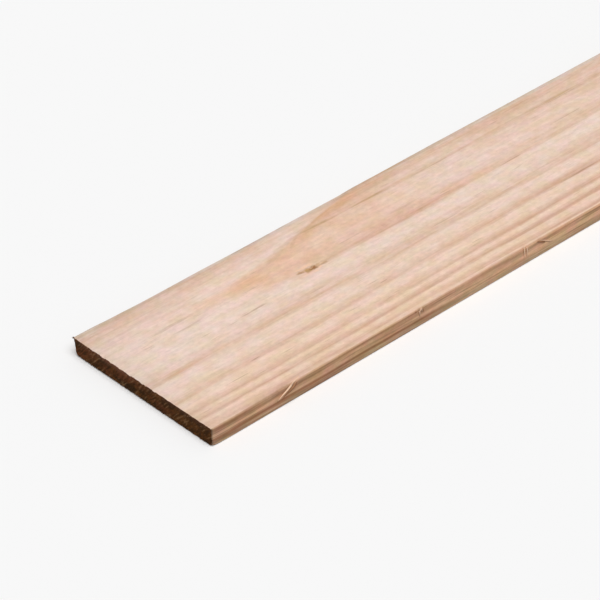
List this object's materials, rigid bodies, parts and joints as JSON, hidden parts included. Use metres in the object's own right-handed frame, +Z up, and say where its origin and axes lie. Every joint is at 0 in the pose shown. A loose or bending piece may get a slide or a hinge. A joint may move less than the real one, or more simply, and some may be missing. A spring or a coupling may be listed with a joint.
{
  "type": "timber lumber plank",
  "caption": "Dressed softwood plank with planed faces, eased long arrises, square sawn ends and a small resin pocket in its top face; stock for boarding, shelving and joinery.",
  "frame": {"origin": "middle of the underside, on the floor that the plank lies on", "axes": "+X along the grain to the right end, +Y across the width to the back edge, +Z up through the thickness"},
  "size_m": [1.219, 0.184, 0.019],
  "materials": {
    "softwood": "planed and left bare, with dark sawn ends"
  },
  "bodies": {
    "root": {"plank": "softwood"}
  },
  "joints": []
}
